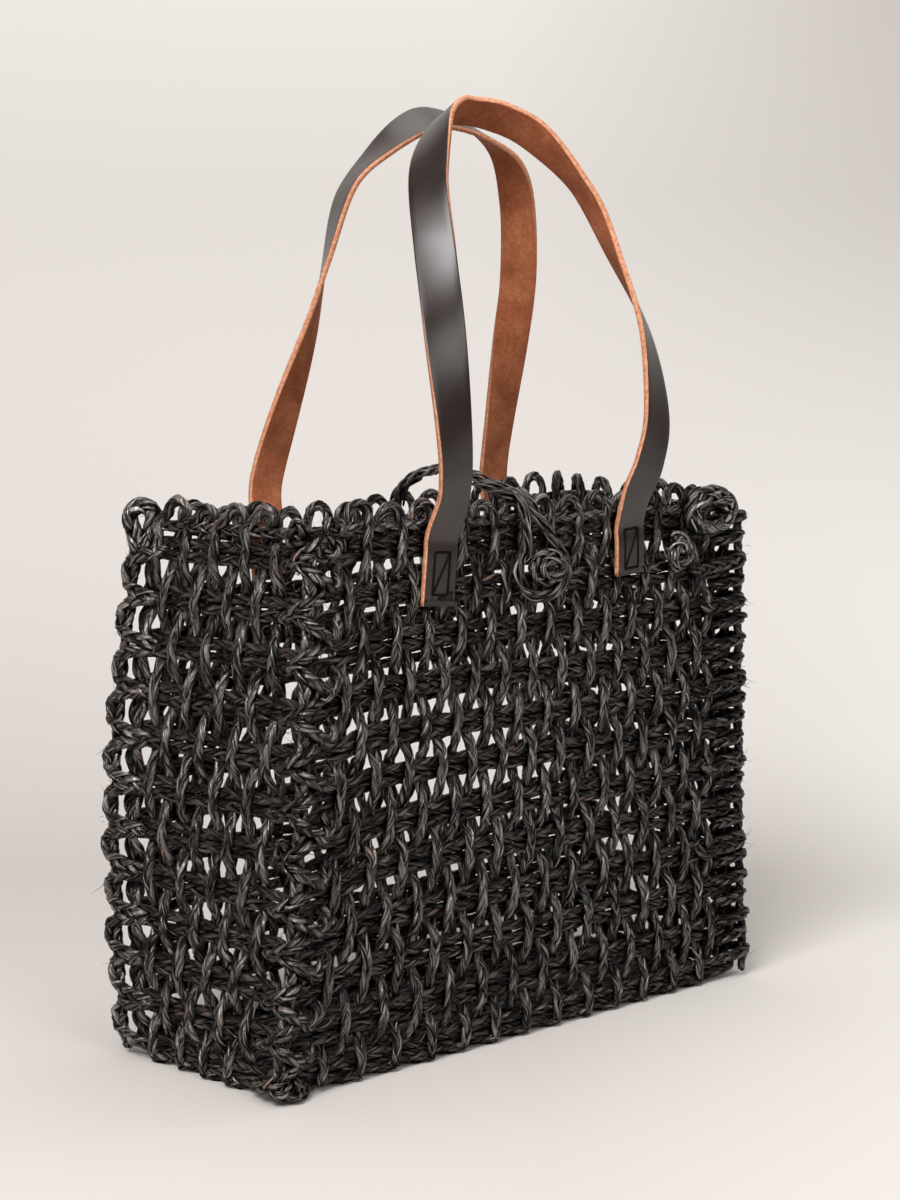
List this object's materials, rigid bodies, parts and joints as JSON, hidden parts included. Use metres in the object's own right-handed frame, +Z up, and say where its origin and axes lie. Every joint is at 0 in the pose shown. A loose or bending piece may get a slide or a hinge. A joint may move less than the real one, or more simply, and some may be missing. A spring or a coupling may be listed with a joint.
{
  "type": "tote bag",
  "caption": "Woven grass-cord tote bag with two leather strap handles, a rim of hairpin arches, and a cord loop that closes over a coiled button",
  "frame": {"origin": "middle of the underside of the base, on the floor", "axes": "+X along the bag to the right seen from the front, +Y to the back panel, +Z up"},
  "size_m": [0.4084, 0.186, 0.5713],
  "materials": {
    "grass_cord": "dyed near-black two-ply grass cord with brown hints and a dull gloss",
    "strap_leather": "dark brown satin leather with tan flesh side and raw orange-tan edges",
    "waxed_thread": "black waxed thread"
  },
  "bodies": {
    "bag": {"front_weft_cord": "grass_cord", "front_warp_cord": "grass_cord", "right_weft_cord": "grass_cord", "right_warp_cord": "grass_cord", "back_weft_cord": "grass_cord", "back_warp_cord": "grass_cord", "left_weft_cord": "grass_cord", "left_warp_cord": "grass_cord", "base": "grass_cord", "rim_cord": "grass_cord", "front_left_lacing": "grass_cord", "front_right_lacing": "grass_cord", "back_right_lacing": "grass_cord", "back_left_lacing": "grass_cord", "corner_loop": "grass_cord", "corner_coil": "grass_cord", "side_knot": "grass_cord", "rosette_button": "grass_cord", "front_left_strap_end": "strap_leather", "front_right_strap_end": "strap_leather", "back_left_strap_end": "strap_leather", "back_right_strap_end": "strap_leather", "front_left_stitch": "waxed_thread", "front_right_stitch": "waxed_thread", "back_left_stitch": "waxed_thread", "back_right_stitch": "waxed_thread"},
    "front_handle": {"front_handle": "strap_leather"},
    "back_handle": {"back_handle": "strap_leather"},
    "closure": {"closure_cord": "grass_cord"},
    "closure_eye": {"closure_eye": "grass_cord"}
  },
  "joints": [
    {"name": "front_handle_swing", "type": "hinge", "parent": "bag", "child": "front_handle", "pos_m": [-0.009, -0.0833, 0.311], "axis": [1, 0, 0], "range_deg": [0, 140]},
    {"name": "back_handle_swing", "type": "hinge", "parent": "bag", "child": "back_handle", "pos_m": [0.018, 0.0839, 0.311], "axis": [-1, 0, 0], "range_deg": [0, 140]},
    {"name": "closure_swing", "type": "hinge", "parent": "bag", "child": "closure", "pos_m": [0.02, 0.079, 0.3307], "axis": [-1, 0, 0], "range_deg": [0, 42]},
    {"name": "closure_eye_lift", "type": "hinge", "parent": "closure", "child": "closure_eye", "pos_m": [-0.028, -0.0822, 0.334], "axis": [-1, 0, 0], "range_deg": [0, 120]}
  ],
  "couplings": [
    {"joint": "closure_swing", "follows": "closure_eye_lift", "ratio": 0.35}
  ]
}
